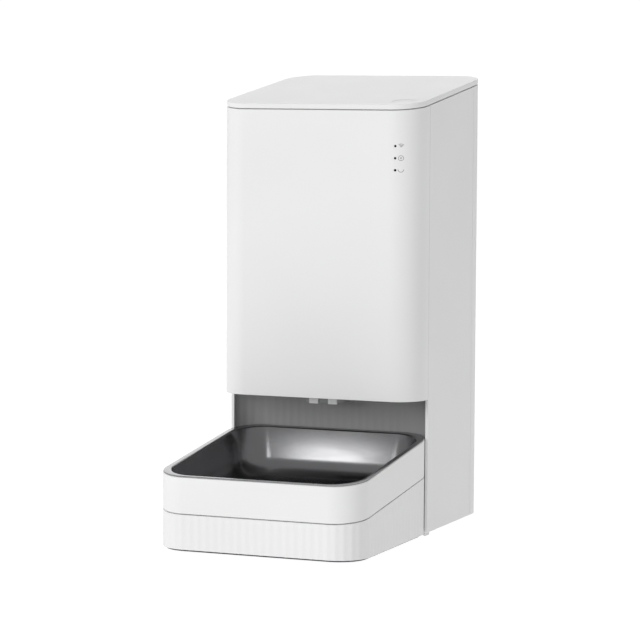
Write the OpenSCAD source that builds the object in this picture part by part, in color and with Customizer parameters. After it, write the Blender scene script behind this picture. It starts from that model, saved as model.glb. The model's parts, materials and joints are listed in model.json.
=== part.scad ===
// Automatic pet feeder: a hopper tower with a lift-off lid, a driven rotor that drops the food
// through a short chute, and a pull-out tray that carries a lift-out steel bowl.
// Millimetres. X to the right, Y to the back, Z up. The origin is on the floor, under the
// middle of the whole footprint. Heights of sloping faces are given at the side seam.

/* [Tower] */
// Width of the tower
body_w = 170; // [150:1:210]
// Depth of the tower, front cover to back
body_d = 161.6; // [158:0.1:200]
// Height of the lid's top face at the side seam
body_h = 345.8; // [300:0.1:420]
// Slope of the lid, rising to the back
lid_slope_deg = 7.95; // [0:0.05:12]
// Depth of the front cover, front face to side seam
cover_d = 28.6; // [26:0.1:40]
// Depth of the rear cover, rear seam to back
rear_d = 30.4; // [27:0.1:40]
// Radius of the two front corners
front_r = 24; // [10:0.5:25]
// Radius of the two rear corners
rear_r = 24.5; // [10:0.5:26]
// Height of the front cover's lower edge
cover_bottom_z = 109.4; // [106:0.1:112]
// Gap between the floor and the lower edge of the side walls
skirt_z = 3; // [2:0.1:5]
// Thickness of the outer walls
wall = 2.4; // [1.8:0.1:3]
// Width of the joint lines between outer panels
seam_gap = 0.5; // [0.2:0.1:1]

/* [Lid] */
// Height of the lid's edge
lid_edge_h = 4; // [3:0.1:6]
// Open joint line between the lid and the tower
lid_gap = 0.8; // [0.4:0.1:1.2]
// Distance of the lid button from the right wall
button_inset = 18.5; // [17:0.5:30]
// Distance of the lid button from the front face
button_back = 18.5; // [16:0.5:30]
// Radius of the lid button
button_r = 8.8; // [7:0.1:9.5]
// Travel of the lid button and of its bolt
button_travel = 1.5; // [1:0.1:2]

/* [Tray and bowl] */
// Width of the tray
tray_w = 169.2; // [150:0.1:205]
// Distance the tray reaches in front of the front cover
tray_reach = 120.6; // [100:0.1:150]
// Depth of the recess that the tray's back sits in, behind the side seam
niche_d = 15.2; // [12:0.1:18]
// Radius of the tray's corners
tray_r = 25; // [22:0.5:28]
// Height of the bowl's rim at the side seam
tray_top_z = 79; // [70:0.5:84]
// Slope of the bowl's rim, rising to the back
tray_slope_deg = 7.64; // [0:0.05:9]
// Height of the smooth ring under the rim, at the side seam
ring_h = 30; // [24:0.5:36]
// Slope of the joint between the ring and the fluted base
ring_slope_deg = 7.15; // [0:0.05:9]
// Thickness of the tray's walls
tray_wall = 2.6; // [2:0.1:3.2]
// Height of the fluted base's lower edge
tray_skirt_z = 2.6; // [2.2:0.1:4]
// Width of the bowl's rim
rim_w = 4.8; // [4:0.1:7]
// Sheet thickness of the bowl
steel_t = 0.8; // [0.6:0.1:1.2]
// Depth of the bowl under its rim
bowl_depth = 38; // [30:0.5:42]
// Gap between the tray and the recess
niche_gap = 1; // [0.6:0.1:2]
// Distance between two flutes
flute_pitch = 6.6; // [5:0.1:10]
// Depth of a flute
flute_depth = 0.3; // [0.2:0.05:0.5]

/* [Dispensing] */
// Inside radius of the rotor chamber
chamber_r = 64; // [58:0.5:66]
// Inside height of the rotor chamber
chamber_h = 31; // [28:0.5:36]
// Inside width of the outlet chute
chute_w = 29.2; // [24:0.1:32]
// Inside depth of the outlet chute
chute_d = 15.2; // [12:0.1:18]
// How far the chute hangs under the front cover's lower edge
chute_drop = 5.4; // [3:0.1:8]
// Number of blades on the rotor
blade_count = 6; // [4:2:8]
// Radius of the rotor's shaft
shaft_r = 4; // [3:0.1:5]
// Radial clearance of shafts that turn in a bore
running_gap = 0.08; // [0.03:0.01:0.1]
// Gear module
gear_m = 1; // [0.8:0.1:1]
// Teeth of the gear on the rotor shaft
drive_teeth = 48; // [36:12:48]
// Teeth of the idler's large wheel
idler_teeth = 36; // [24:12:36]
// Teeth of the pinions
pinion_teeth = 12; // [12:12:12]

/* [Hardware] */
// Height of the power inlet and of the reset button
inlet_z = 20; // [18:1:30]
// Distance of the inlet and the button from the middle
inlet_x = 48; // [36:1:50]
// Radius of the indicator lamps
lamp_r = 1; // [0.8:0.1:1.5]
// Distance between two indicator lamps
lamp_pitch = 9.4; // [8:0.1:12]
// Distance from the lid's edge down to the top lamp
lamp_drop = 28.2; // [24:0.1:40]
// Shank radius of the screws
screw_r = 1.5; // [1.2:0.1:1.8]

/* [Hidden] */
$fn = 96;

// Front-to-back places
total_d = tray_reach + body_d;
tray_front_y = -total_d / 2;
front_y = tray_front_y + tray_reach;
seam_y = front_y + cover_d;
rear_y = front_y + body_d;
rear_seam_y = rear_y - rear_d;
tray_back_y = seam_y + niche_d - niche_gap;

// Slopes as height per length
lid_slope = tan(lid_slope_deg);
rim_slope = tan(tray_slope_deg);
ring_slope = tan(ring_slope_deg);

// Heights at the side seam of the sloping layers under the lid
lid_bottom = body_h - lid_edge_h;
shell_top = lid_bottom - lid_gap;
lid_roof_t = 2.4;
lid_roof = body_h - lid_roof_t;
hopper_lip_t = 2.5;
frame_top = shell_top - hopper_lip_t;
frame_h = 12.5;
plug_h = 13;

// Horizontal layers of the dispensing unit
ceiling_t = 2.4;
ceiling_z = cover_bottom_z + 1;
frame_z = cover_bottom_z + 20.6;
frame_t = 4;
floor_z = frame_z + frame_t;
floor_t = 3;
chamber_z = floor_z + floor_t;
housing_top = floor_z + chamber_h + floor_t;
gasket_t = 1.5;
hopper_z = housing_top + gasket_t;
funnel_h = 38;
base_t = 3;
base_top = skirt_z + base_t;

// Rotor chamber, chute and hopper in plan
chamber_wall = 2.5;
rotor_y = front_y + wall + chamber_wall + chamber_r + 15.6;
chute_y = rotor_y - chamber_r + 8;
chute_wall = 2.4;
chute_r = 6;
drop_w = 28;
drop_d = 12;
hopper_wall = 2;
hopper_side_gap = 3.1;
hopper_front_gap = 6.1;
hopper_rear_gap = 8;
hopper_r = 14;
slip = 0.3;

// Gear train along the middle plane, from the rotor to the motor
tooth_half = [0.95, 0.66, 0.3];
idler_y = rotor_y + gear_m * (drive_teeth + pinion_teeth) / 2;
motor_y = idler_y + gear_m * (idler_teeth + pinion_teeth) / 2;
case_wall = 2;
case_half_w = gear_m * (drive_teeth / 2 + 1) + 1 + case_wall;
case_front_y = rotor_y - case_half_w;
case_back_y = motor_y + 15;
case_z = frame_z - 22;
cover_t = 3;
low_gear_z = case_z + 4;
low_gear_h = 6;
high_gear_z = low_gear_z + 7.5;
high_gear_h = 5;
pin_r = 2;
motor_r = 12.5;
motor_h = 42;
motor_shaft_r = 1.5;

// Rotor
blade_t = 2.2;
blade_gap = 1.2;
hub_r = 14;
rotor_z = chamber_z + 0.5;
rotor_top = chamber_z + 23.5;
guard_z = rotor_top + 1.5;
guard_t = 2.5;

// Lid button and its bolt, counted from the sloping top at the button
button_x = body_w / 2 - button_inset;
button_y = front_y + button_back;
button_top = body_h + lid_slope * (button_y - seam_y);
button_sink = 0.4;
button_t = 1.9;
stem_r = 2.4;
cup_r = 4.6;
cup_floor = -8;
bolt_top = -11;
bolt_h = 4;
bolt_w = 8;
wedge_sum = bolt_h - bolt_top - 0.5 - stem_r;
wedge_gap = 0.42;
bolt_tip = 11.8;
bolt_tail = -14;

// Desiccant box under the lid
desiccant_r = 33.5;
desiccant_y = (front_y + rear_y) / 2;
desiccant_h = 18;
socket_h = 9;

// Tray
tray_half = tray_w / 2;
ring_seam = tray_top_z - ring_h;
ring_gap = 0.7;
ledge_t = 2;
opening_r = 24.3;
plate_t = 3;
foot_r = 9;
foot_t = 1.2;
tray_boss_x = tray_half - 7.2;
tray_boss_ys = [tray_front_y + 40, tray_back_y - 45];

// Electronics
board_t = 1.6;
board_y = rear_y - wall - 9;
board_w = 116;
board_h = 46;
board_z = base_top + 6;
jack_nose_r = 4.5;
reset_r = 3.8;
switch_h = 4;
reset_travel = 1.2;
lamp_x = body_w / 2 - 18.7;
lamp_z = lid_bottom - lamp_drop + lid_slope * (front_y - seam_y);

// Screw places
post_x = body_w / 2 - 15;
post_y = rear_seam_y - 10;
boss_x = tray_half - 21.6;
boss_y = tray_back_y + niche_gap + wall + 3.5;
boss_r = 4.5;
ear_r = chamber_r + chamber_wall + 4.5;
sunk_head = 1.2 * screw_r + 0.1;

// Colours
shell_white = [0.93, 0.93, 0.93];
niche_grey = [0.55, 0.55, 0.56];
part_white = [0.86, 0.87, 0.88];
dark = [0.16, 0.16, 0.17];
steel = [0.45, 0.45, 0.46];
bright_steel = [0.75, 0.76, 0.78];
gear_tan = [0.85, 0.82, 0.72];
soft_grey = [0.62, 0.66, 0.70];
board_green = [0.10, 0.35, 0.22];

// ---- outlines and layers ----

// Rectangle with its own corner radius at the front and at the back
module round_box_2d(half_w, y_front, y_back, r_front, r_back) {
    translate([-half_w, y_front + r_front])
        square([2 * half_w, y_back - y_front - r_front - r_back]);
    translate([-half_w + r_front, y_front])
        square([2 * (half_w - r_front), r_front + 1]);
    translate([-half_w + r_back, y_back - r_back - 1])
        square([2 * (half_w - r_back), r_back + 1]);
    for (side = [-1, 1]) {
        translate([side * (half_w - r_front), y_front + r_front]) circle(r_front);
        translate([side * (half_w - r_back), y_back - r_back]) circle(r_back);
    }
}

module body_2d(inset = 0)
    round_box_2d(body_w / 2 - inset, front_y + inset, rear_y - inset,
                 front_r - inset, rear_r - inset);

module tray_2d(inset = 0)
    round_box_2d(tray_half - inset, tray_front_y + inset, tray_back_y - inset,
                 tray_r - inset, tray_r - inset);

module bowl_2d(grow = 0)
    round_box_2d(tray_half - rim_w - 0.3 + grow, tray_front_y + rim_w + 0.3 - grow,
                 tray_back_y - rim_w - 0.3 + grow, opening_r + grow, opening_r + grow);

module hopper_2d(inset = 0)
    round_box_2d(body_w / 2 - wall - hopper_side_gap - inset,
                 front_y + wall + hopper_front_gap + inset,
                 rear_y - wall - hopper_rear_gap - inset,
                 hopper_r - inset, hopper_r - inset);

// Everything between two planes that may slope; heights are those at the side seam
module slab(low, low_slope, high, high_slope) {
    reach = 400;
    rotate([90, 0, 90])
        linear_extrude(height = 2 * reach, center = true)
            polygon([
                [seam_y - reach, low - low_slope * reach],
                [seam_y + reach, low + low_slope * reach],
                [seam_y + reach, high + high_slope * reach],
                [seam_y - reach, high - high_slope * reach]
            ]);
}

// Upright prism on the outline given as child, cut off by two planes
module prism(low, low_slope, high, high_slope) {
    intersection() {
        translate([0, 0, -20]) linear_extrude(height = 600) children();
        slab(low, low_slope, high, high_slope);
    }
}

module wide_strip_2d(y_low, y_high)
    translate([-body_w, y_low]) square([2 * body_w, y_high - y_low]);

// Row of shallow round grooves along an outline with equal corners.
// side = 1 cuts from outside the outline, side = -1 from inside.
module flutes_2d(half_w, y_front, y_back, r, side) {
    chord = flute_pitch - 0.9;
    cut_r = (chord * chord / 4 + flute_depth * flute_depth) / (2 * flute_depth);
    out = side * (cut_r - flute_depth);
    run_x = 2 * (half_w - r);
    run_y = y_back - y_front - 2 * r;
    count_x = round(run_x / flute_pitch);
    count_y = round(run_y / flute_pitch);
    count_arc = round(r * PI / 2 / flute_pitch);
    for (i = [0 : count_x - 1]) {
        x = -half_w + r + (i + 0.5) * run_x / count_x;
        translate([x, y_front - out]) circle(cut_r);
        translate([x, y_back + out]) circle(cut_r);
    }
    for (i = [0 : count_y - 1], sx = [-1, 1])
        translate([sx * (half_w + out), y_front + r + (i + 0.5) * run_y / count_y])
            circle(cut_r);
    for (i = [0 : count_arc - 1], quarter = [0 : 3]) {
        a = quarter * 90 + (i + 0.5) * 90 / count_arc;
        cx = (quarter == 0 || quarter == 3) ? half_w - r : r - half_w;
        cy = quarter < 2 ? y_back - r : y_front + r;
        translate([cx + (r + out) * cos(a), cy + (r + out) * sin(a)]) circle(cut_r);
    }
}

// ---- fasteners ----

// Pan-head screw whose shank points down from the origin
module screw(length) {
    head_h = 1.2 * screw_r;
    difference() {
        union() {
            translate([0, 0, -length]) cylinder(r = screw_r, h = length);
            cylinder(r = 2 * screw_r, h = head_h);
        }
        for (turn = [0, 90])
            rotate(turn)
                translate([-screw_r, -0.25, head_h / 2])
                    cube([2 * screw_r, 0.5, head_h]);
    }
}

// Hole for a screw, deeper than the screw by a little
module screw_hole(length)
    translate([0, 0, -length - 1]) cylinder(r = screw_r + 0.05, h = length + 1.01);

// ---- outer shell ----

// Narrow strips inside the shell that locate one panel behind the next
module tongues(y_low, y_high, z_low, z_high) {
    tongue_t = 1.6;
    for (side = [-1, 1])
        prism(z_low, 0, z_high, lid_slope)
            translate([side * (body_w / 2 - wall - tongue_t / 2 - 0.05) - tongue_t / 2, y_low])
                square([tongue_t, y_high - y_low]);
}

// Thickening that joins a tongue to its own panel
module tongue_roots(y_low, y_high, z_low, z_high)
    for (side = [-1, 1])
        prism(z_low, 0, z_high, lid_slope)
            translate([side * (body_w / 2 - wall - 0.5) - 1, y_low])
                square([2, y_high - y_low]);

module front_cover() {
    edge_y = seam_y - seam_gap / 2;
    tongue_low = floor_z + 6;
    tongue_high = frame_top - frame_h - 4;
    color(shell_white)
    difference() {
        union() {
            prism(cover_bottom_z, 0, shell_top, lid_slope)
                intersection() {
                    difference() {
                        body_2d();
                        body_2d(wall);
                    }
                    wide_strip_2d(front_y - 1, edge_y);
                }
            tongues(edge_y - 8, edge_y + 5, tongue_low, tongue_high);
            tongue_roots(edge_y - 8, edge_y - 1, tongue_low, tongue_high);
        }
        for (i = [0 : 2])
            translate([lamp_x, front_y - 2, lamp_z - i * lamp_pitch])
                rotate([-90, 0, 0]) cylinder(r = lamp_r, h = 12);
    }
}

module side_panel(side) {
    length = rear_seam_y - seam_y - seam_gap;
    color(shell_white) {
        prism(skirt_z, 0, shell_top, lid_slope)
            translate([side * (body_w - wall) / 2 - wall / 2, seam_y + seam_gap / 2])
                square([wall, length]);
        // shelf for the middle frame
        translate([side * (body_w / 2 - wall - 1.5) - 2.5, seam_y + 30, frame_z - 4])
            cube([5, 36, 4]);
    }
}

module rear_cover() {
    edge_y = rear_seam_y + seam_gap / 2;
    tongue_high = frame_top - frame_h - 4;
    standoff_h = rear_y - wall - board_y - board_t;
    color(shell_white)
    difference() {
        union() {
            prism(skirt_z, 0, shell_top, lid_slope)
                intersection() {
                    difference() {
                        body_2d();
                        body_2d(wall);
                    }
                    wide_strip_2d(edge_y, rear_y + 1);
                }
            tongues(edge_y - 5, edge_y + 6, floor_z + 6, tongue_high);
            tongue_roots(edge_y + 1, edge_y + 6, floor_z + 6, tongue_high);
            for (p = board_holes())
                translate([p[0], board_y + board_t, p[1]])
                    rotate([-90, 0, 0]) cylinder(r = 3, h = standoff_h + 0.5);
        }
        translate([-inlet_x, rear_y - wall - 1, inlet_z])
            rotate([-90, 0, 0]) cylinder(r = jack_nose_r + 0.1, h = wall + 2);
        translate([inlet_x, rear_y - wall - 1, inlet_z])
            rotate([-90, 0, 0]) cylinder(r = reset_r + 0.2, h = wall + 2);
        for (p = board_holes())
            translate([p[0], board_y + board_t, p[1]])
                rotate([90, 0, 0]) screw_hole(5);
    }
}

module base_plate() {
    toe_d = 12;
    color(part_white)
    difference() {
        union() {
            translate([0, 0, skirt_z]) linear_extrude(height = base_t) base_2d();
            linear_extrude(height = skirt_z)
                intersection() {
                    base_2d();
                    wide_strip_2d(seam_y, seam_y + toe_d);
                }
        }
        for (p = base_holes())
            translate([p[0], p[1], base_top]) screw_hole(12);
    }
}

// Floor of the tower, cut out in front for the tray
module base_2d() {
    difference() {
        body_2d(wall + 0.1);
        tray_2d(-niche_gap);
        wide_strip_2d(front_y - 10, seam_y + 1.5);
    }
}

module body_feet() {
    color(dark)
    for (side = [-1, 1], y = [boss_y + 12, rear_y - 30])
        translate([side * (body_w / 2 - 20), y, 0]) cylinder(r = 7, h = skirt_z);
}

// ---- recess, frame and supports ----

module niche_wall() {
    color(niche_grey)
    difference() {
        union() {
            translate([0, 0, base_top])
                linear_extrude(height = frame_z - base_top)
                    intersection() {
                        difference() {
                            tray_2d(-niche_gap - wall);
                            tray_2d(-niche_gap);
                            flutes_2d(tray_half + niche_gap, tray_front_y - niche_gap,
                                      tray_back_y + niche_gap, tray_r + niche_gap, -1);
                        }
                        translate([-body_w / 2 + wall + 0.1, seam_y])
                            square([body_w - 2 * wall - 0.2, body_d]);
                    }
            for (side = [-1, 1])
                translate([side * boss_x, boss_y, base_top])
                    cylinder(r = boss_r, h = frame_z - base_top);
        }
        for (side = [-1, 1]) {
            translate([side * boss_x, boss_y, frame_z]) screw_hole(10);
            translate([side * boss_x, boss_y, base_top - 1])
                cylinder(r = screw_r + 0.05, h = 12);
        }
    }
}

module niche_ceiling() {
    color(niche_grey)
    translate([0, 0, ceiling_z])
        linear_extrude(height = ceiling_t)
            difference() {
                intersection() {
                    body_2d(wall + 0.1);
                    tray_2d(-niche_gap + 0.1);
                }
                chute_2d(chute_wall + slip);
            }
}

module chute_2d(grow)
    translate([0, chute_y])
        round_box_2d(chute_w / 2 + grow, -chute_d / 2 - grow, chute_d / 2 + grow,
                     chute_r - chute_wall + grow, chute_r - chute_wall + grow);

module mid_frame() {
    color(part_white)
    difference() {
        translate([0, 0, frame_z])
            linear_extrude(height = frame_t)
                difference() {
                    body_2d(wall + 0.3);
                    chute_2d(chute_wall + slip);
                    translate([0, rotor_y]) circle(12);
                    for (side = [-1, 1])
                        translate([side * 50 - 11, rotor_y - 18]) square([22, 36]);
                }
        for (p = concat(frame_holes(), ear_holes()))
            translate([p[0], p[1], floor_z]) screw_hole(8);
    }
}

module support_posts() {
    color(part_white)
    for (side = [-1, 1])
        difference() {
            translate([side * post_x, post_y, base_top]) cylinder(r = 5, h = frame_z - base_top);
            translate([side * post_x, post_y, frame_z]) screw_hole(10);
            translate([side * post_x, post_y, base_top - 1])
                cylinder(r = screw_r + 0.05, h = 12);
        }
}

module top_frame() {
    color(part_white)
    difference() {
        prism(frame_top - frame_h, lid_slope, frame_top, lid_slope)
            difference() {
                body_2d(wall + 0.15);
                hopper_2d(-slip);
            }
        bolt_notch();
    }
}

// Notch that the bolt's tip reaches into; open upwards, so that the lid can be lifted
module bolt_notch()
    translate([button_x + 3, button_y - bolt_w / 2 - 0.6, button_top + bolt_top - bolt_h - 0.6])
        cube([bolt_tip - 3 + 0.9, bolt_w + 1.2, 40]);

// ---- hopper ----

// Solid form of the hopper at a given inset: straight on top, funnel below
module hopper_form(inset, cone_extra) {
    funnel_top = hopper_z + funnel_h;
    intersection() {
        translate([0, 0, hopper_z - inset]) linear_extrude(height = funnel_h + inset) hopper_2d(inset);
        translate([0, rotor_y, hopper_z])
            cylinder(r1 = chamber_r + cone_extra, r2 = chamber_r + cone_extra + funnel_h,
                     h = funnel_h);
    }
    prism(funnel_top, 0, shell_top + inset, lid_slope) hopper_2d(inset);
}

module hopper() {
    color(soft_grey)
    difference() {
        union() {
            hopper_form(0, 2.8);
            prism(frame_top, lid_slope, shell_top, lid_slope) body_2d(wall + 0.4);
        }
        hopper_form(hopper_wall, 0);
        bolt_notch();
    }
}

module hopper_gasket() {
    color(dark)
    translate([0, rotor_y, housing_top])
        difference() {
            cylinder(r = chamber_r + chamber_wall, h = gasket_t);
            translate([0, 0, -1]) cylinder(r = chamber_r, h = gasket_t + 2);
        }
}

// ---- dispensing unit ----

function ear_holes() = [for (a = [45, 135, 225, 315])
    [ear_r * cos(a), rotor_y + ear_r * sin(a)]];
function frame_holes() = [
    [-boss_x, boss_y], [boss_x, boss_y], [-post_x, post_y], [post_x, post_y]
];
function base_holes() = frame_holes();
function board_holes() = [for (sx = [-1, 1], sz = [0, 1])
    [sx * (board_w / 2 - 5 - 14 * (1 - sz)), board_z + 5 + sz * (board_h - 10)]];

module rotor_housing() {
    outer_r = chamber_r + chamber_wall;
    color(part_white)
    difference() {
        union() {
            translate([0, rotor_y, floor_z]) cylinder(r = outer_r, h = housing_top - floor_z);
            for (p = ear_holes())
                translate([p[0], p[1], floor_z]) cylinder(r = 5, h = frame_t);
        }
        translate([0, rotor_y, chamber_z]) cylinder(r = chamber_r, h = chamber_h + 1);
        translate([0, rotor_y, floor_z - 1]) cylinder(r = shaft_r + 3, h = floor_t + 2);
        translate([-drop_w / 2, chute_y - drop_d / 2, floor_z - 1])
            cube([drop_w, drop_d, floor_t + 2]);
        for (p = ear_holes())
            translate([p[0], p[1], floor_z + frame_t]) screw_hole(frame_t);
    }
}

module portion_guard() {
    color(soft_grey)
    translate([0, rotor_y, guard_z])
        linear_extrude(height = guard_t)
            intersection() {
                circle(chamber_r);
                translate([-30, -chamber_r - 1]) square([60, chamber_r - 29]);
            }
}

module rotor_bush() {
    color("goldenrod")
    translate([0, rotor_y, 0])
        difference() {
            union() {
                translate([0, 0, floor_z]) cylinder(r = shaft_r + 3, h = floor_t);
                translate([0, 0, floor_z - 2.4]) cylinder(r = shaft_r + 5, h = 2.4);
            }
            translate([0, 0, floor_z - 5]) cylinder(r = shaft_r + running_gap, h = 12);
        }
}

module outlet_chute() {
    mouth_z = cover_bottom_z - chute_drop;
    flange_z = frame_z - 3;
    color(niche_grey)
    difference() {
        union() {
            translate([0, 0, mouth_z])
                linear_extrude(height = floor_z - mouth_z) chute_2d(chute_wall);
            translate([0, 0, flange_z])
                linear_extrude(height = 3)
                    intersection() {
                        chute_2d(chute_wall + 5);
                        translate([-body_w / 2, front_y])
                            square([body_w, tray_back_y + niche_gap - slip - front_y]);
                    }
        }
        translate([0, 0, mouth_z - 1])
            linear_extrude(height = floor_z - mouth_z + 2) chute_2d(0);
    }
}

module outlet_tabs() {
    tab_w = 7.7;
    color(shell_white)
    for (side = [-1, 1])
        translate([side * 8.1 - tab_w / 2, chute_y - chute_d / 2 - chute_wall - 1.3,
                   cover_bottom_z - chute_drop - 0.9])
            cube([tab_w, 1.3, ceiling_z - cover_bottom_z + chute_drop + 0.9]);
}

module gearbox_case_2d(inset)
    round_box_2d(case_half_w - inset, case_front_y + inset, case_back_y - inset,
                 10 - inset, 10 - inset);

function case_holes() = [for (sx = [-1, 1], y = [case_front_y + 6, case_back_y - 6])
    [sx * (case_half_w - 6), y]];

module gearbox_case() {
    floor_h = 2.5;
    rim_z = frame_z - cover_t;
    color(part_white)
    difference() {
        union() {
            difference() {
                translate([0, 0, case_z])
                    linear_extrude(height = rim_z - case_z) gearbox_case_2d(0);
                translate([0, 0, case_z + floor_h])
                    linear_extrude(height = rim_z) gearbox_case_2d(case_wall);
            }
            translate([0, rotor_y, case_z]) cylinder(r = shaft_r + 3, h = 3.6);
            for (p = case_holes())
                translate([p[0], p[1], case_z]) cylinder(r = 3, h = rim_z - case_z);
        }
        translate([0, rotor_y, case_z + 1.2]) cylinder(r = shaft_r + running_gap, h = 10);
        translate([0, idler_y, case_z - 1]) cylinder(r = pin_r, h = floor_h + 2);
        translate([0, motor_y, case_z - 1]) cylinder(r = 3.2, h = floor_h + 2);
        for (p = case_holes())
            translate([p[0], p[1], rim_z]) screw_hole(8);
    }
}

module gearbox_cover() {
    color(part_white)
    difference() {
        translate([0, 0, frame_z - cover_t])
            linear_extrude(height = cover_t) gearbox_case_2d(0);
        translate([0, rotor_y, frame_z - 5]) cylinder(r = shaft_r + 0.6, h = 8);
        translate([0, idler_y, frame_z - 5]) cylinder(r = pin_r, h = 8);
        for (p = case_holes()) {
            translate([p[0], p[1], frame_z - 5]) cylinder(r = screw_r + 0.05, h = 8);
            translate([p[0], p[1], frame_z - sunk_head])
                cylinder(r = 2 * screw_r + 0.3, h = 8);
        }
    }
}

module idler_pin() {
    color(bright_steel)
    translate([0, idler_y, case_z]) cylinder(r = pin_r, h = frame_z - case_z);
}

module motor() {
    color(bright_steel)
    translate([0, motor_y, case_z - motor_h])
        difference() {
            union() {
                cylinder(r = motor_r, h = motor_h);
                translate([0, 0, -2.5]) cylinder(r = 5, h = 2.5);
            }
            translate([0, 0, motor_h - 14])
                cylinder(r = motor_shaft_r + running_gap, h = 20);
        }
}

// Gear outline with straight-flanked teeth; one tooth points along +X
module gear_2d(teeth) {
    pitch_r = gear_m * teeth / 2;
    root_r = pitch_r - 1.25 * gear_m;
    tip_r = pitch_r + gear_m;
    circle(root_r);
    for (i = [0 : teeth - 1])
        rotate(i * 360 / teeth)
            polygon([
                [root_r - 0.4, -tooth_half[0] * gear_m], [pitch_r, -tooth_half[1] * gear_m],
                [tip_r, -tooth_half[2] * gear_m], [tip_r, tooth_half[2] * gear_m],
                [pitch_r, tooth_half[1] * gear_m], [root_r - 0.4, tooth_half[0] * gear_m]
            ]);
}

module rotor_shaft() {
    color(bright_steel)
    translate([0, rotor_y, case_z + 1.5])
        cylinder(r = shaft_r, h = rotor_top - case_z - 3.5);
}

module drive_gear() {
    color(gear_tan)
    translate([0, rotor_y, low_gear_z])
        linear_extrude(height = low_gear_h)
            difference() {
                gear_2d(drive_teeth);
                circle(shaft_r);
                for (a = [0 : 60 : 300])
                    rotate(a) translate([13.5 * gear_m, 0]) circle(4 * gear_m);
            }
}

module rotor_hub() {
    color(part_white)
    translate([0, rotor_y, rotor_z])
        difference() {
            cylinder(r = hub_r, h = rotor_top - rotor_z);
            translate([0, 0, -1]) cylinder(r = shaft_r, h = rotor_top - rotor_z - 1);
        }
}

module rotor_blades() {
    sweep_r = chamber_r - blade_gap;
    sleeve_t = 1.6;
    color(soft_grey)
    translate([0, rotor_y, rotor_z])
        linear_extrude(height = rotor_top - rotor_z)
            difference() {
                union() {
                    circle(hub_r + sleeve_t);
                    for (i = [0 : blade_count - 1])
                        rotate(i * 360 / blade_count)
                            translate([0, -blade_t / 2]) square([sweep_r, blade_t]);
                }
                circle(hub_r);
            }
}

module agitator() {
    cone_h = 22;
    fin_r = 25;
    color(part_white)
    translate([0, rotor_y, rotor_top]) {
        cylinder(r1 = hub_r, r2 = 5, h = cone_h);
        for (turn = [0, 90])
            rotate(turn)
                translate([-fin_r, -1.5, 5]) cube([2 * fin_r, 3, 11]);
    }
}

module idler_gear() {
    top_z = high_gear_z + high_gear_h;
    color(gear_tan)
    translate([0, idler_y, 0])
        difference() {
            union() {
                translate([0, 0, low_gear_z])
                    rotate(180 / pinion_teeth)
                        linear_extrude(height = low_gear_h) gear_2d(pinion_teeth);
                translate([0, 0, low_gear_z + low_gear_h])
                    cylinder(r = 4.5, h = high_gear_z - low_gear_z - low_gear_h);
                translate([0, 0, high_gear_z])
                    linear_extrude(height = high_gear_h) gear_2d(idler_teeth);
            }
            translate([0, 0, low_gear_z - 1])
                cylinder(r = pin_r + running_gap, h = top_z - low_gear_z + 2);
        }
}

module motor_shaft() {
    color(bright_steel)
    translate([0, motor_y, case_z - 13.5])
        cylinder(r = motor_shaft_r, h = high_gear_z + high_gear_h + 1 - case_z + 13.5);
}

module motor_pinion() {
    color("goldenrod")
    translate([0, motor_y, high_gear_z])
        rotate(180 / pinion_teeth)
            linear_extrude(height = high_gear_h)
                difference() {
                    gear_2d(pinion_teeth);
                    circle(motor_shaft_r);
                }
}

// ---- electronics ----

module main_board() {
    color(board_green)
    difference() {
        translate([-board_w / 2, board_y, board_z]) cube([board_w, board_t, board_h]);
        for (p = board_holes())
            translate([p[0], board_y, p[1]]) rotate([90, 0, 0])
                translate([0, 0, -board_t - 1]) cylinder(r = screw_r + 0.1, h = board_t + 2);
    }
}

module board_parts() {
    front = board_y;
    color(dark) {
        translate([-12, front - 1.2, board_z + 14]) cube([18, 1.2, 18]);
        translate([16, front - 3, board_z + 20]) cube([14, 3, 10]);
        for (x = [-46, -34])
            translate([x, front, board_z + 26]) rotate([90, 0, 0]) cylinder(r = 4, h = 12);
        for (x = [-30, 18])
            translate([x, front - 6, board_z + 4]) cube([12, 6, 6]);
        // push switch behind the reset button
        translate([inlet_x - 3, board_y + board_t, inlet_z - 3]) cube([6, switch_h, 6]);
    }
}

module indicator_board() {
    color(board_green)
    translate([lamp_x - 12, front_y + wall + 3.6, lamp_z - 2 * lamp_pitch - 12])
        cube([16, board_t, 2 * lamp_pitch + 22]);
}

module light_pipes() {
    inner_y = front_y + wall + 3.6;
    corner_x = body_w / 2 - front_r;
    face_y = front_y + front_r - sqrt(front_r * front_r - pow(max(0, lamp_x - corner_x), 2));
    color("dimgray")
    for (i = [0 : 2])
        translate([lamp_x, face_y + 0.35, lamp_z - i * lamp_pitch])
            rotate([-90, 0, 0]) cylinder(r = lamp_r, h = inner_y - face_y - 0.35);
}

module power_inlet() {
    depth = 14;
    color(dark)
    translate([-inlet_x, rear_y - wall, inlet_z])
        rotate([90, 0, 0]) {
            difference() {
                union() {
                    translate([-6, -6, 0]) cube([12, 12, 5]);
                    translate([-5, -5, 5]) cube([10, 10, 1.4]);
                    translate([0, 0, -wall + 0.4]) cylinder(r = jack_nose_r, h = wall);
                }
                translate([0, 0, -wall - 1]) cylinder(r = 3.15, h = wall + 5.4);
            }
            translate([0, 0, -wall + 1.4]) cylinder(r = 1, h = wall + 4);
        }
}

module reset_button() {
    tip_y = board_y + board_t + switch_h;
    color("gainsboro") {
        translate([inlet_x, tip_y + 1.3, inlet_z])
            rotate([-90, 0, 0]) cylinder(r = reset_r, h = rear_y - 0.4 - tip_y - 1.3);
        translate([inlet_x, tip_y + 1.3, inlet_z])
            rotate([-90, 0, 0]) cylinder(r = reset_r + 1.4, h = 1.8);
    }
}

// ---- screws ----

module frame_screws() {
    color(bright_steel)
    for (p = frame_holes()) translate([p[0], p[1], floor_z]) screw(10);
}

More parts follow.
